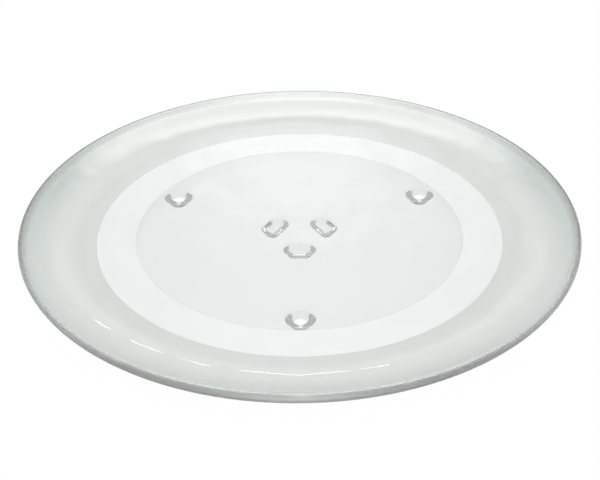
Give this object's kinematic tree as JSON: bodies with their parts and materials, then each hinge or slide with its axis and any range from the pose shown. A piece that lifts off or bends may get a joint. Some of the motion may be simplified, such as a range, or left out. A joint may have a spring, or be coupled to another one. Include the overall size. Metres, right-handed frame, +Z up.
{
  "type": "microwave turntable plate",
  "caption": "Round clear glass turntable plate with a flat floor, a low curved rim, and a frosted roller track, locating bosses and drive lugs underneath.",
  "frame": {"origin": "on the turning axis, in the plane that the feet stand on", "axes": "+Z up along the turning axis; -Y towards one locating boss and one drive lug"},
  "size_m": [0.3239, 0.324, 0.0176],
  "materials": {
    "clear_glass": "fire-polished clear pressed glass with a faint green cast, frosted on the roller track"
  },
  "bodies": {
    "root": {"turntable_plate": "clear_glass"}
  },
  "joints": []
}
